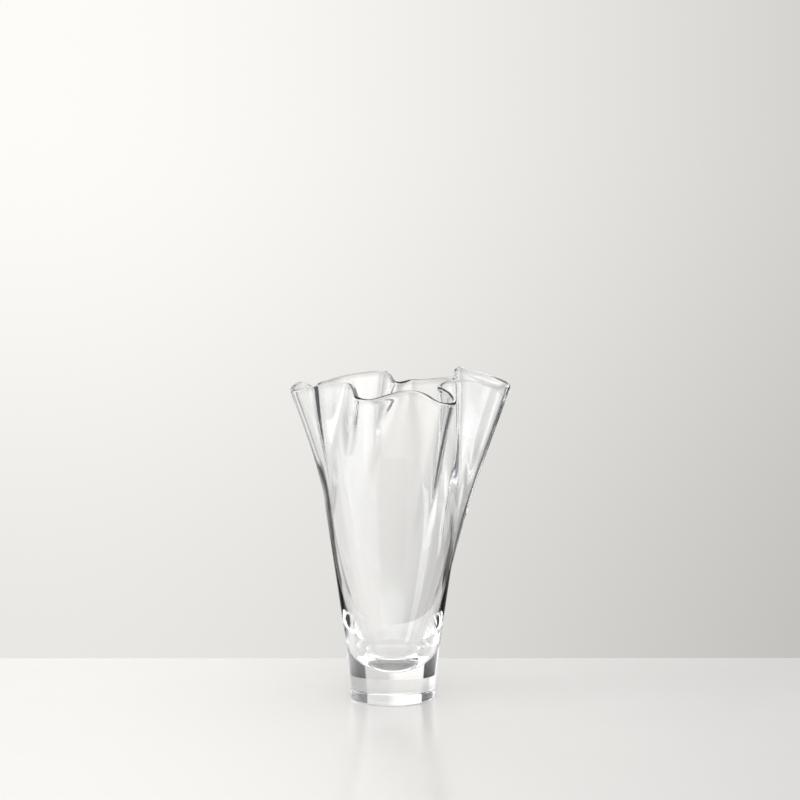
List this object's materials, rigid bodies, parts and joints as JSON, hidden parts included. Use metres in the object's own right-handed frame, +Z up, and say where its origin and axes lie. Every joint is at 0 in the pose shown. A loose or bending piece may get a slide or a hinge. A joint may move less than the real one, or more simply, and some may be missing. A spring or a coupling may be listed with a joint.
{
  "type": "fan vase",
  "caption": "Tall clear glass vase, flared from a thick solid base to a wide mouth whose lip is folded into irregular lobes. Stands by itself and holds cut flowers.",
  "frame": {"origin": "centre of the base's flat underside, on the table", "axes": "+Z up along the vase's axis; the picture looks along +Y, with +X to its right"},
  "size_m": [0.1709, 0.1518, 0.256],
  "materials": {
    "bowl_glass": "clear, fire-polished",
    "base_glass": "clear, polished"
  },
  "bodies": {
    "root": {"bowl": "bowl_glass", "base": "base_glass"}
  },
  "joints": []
}
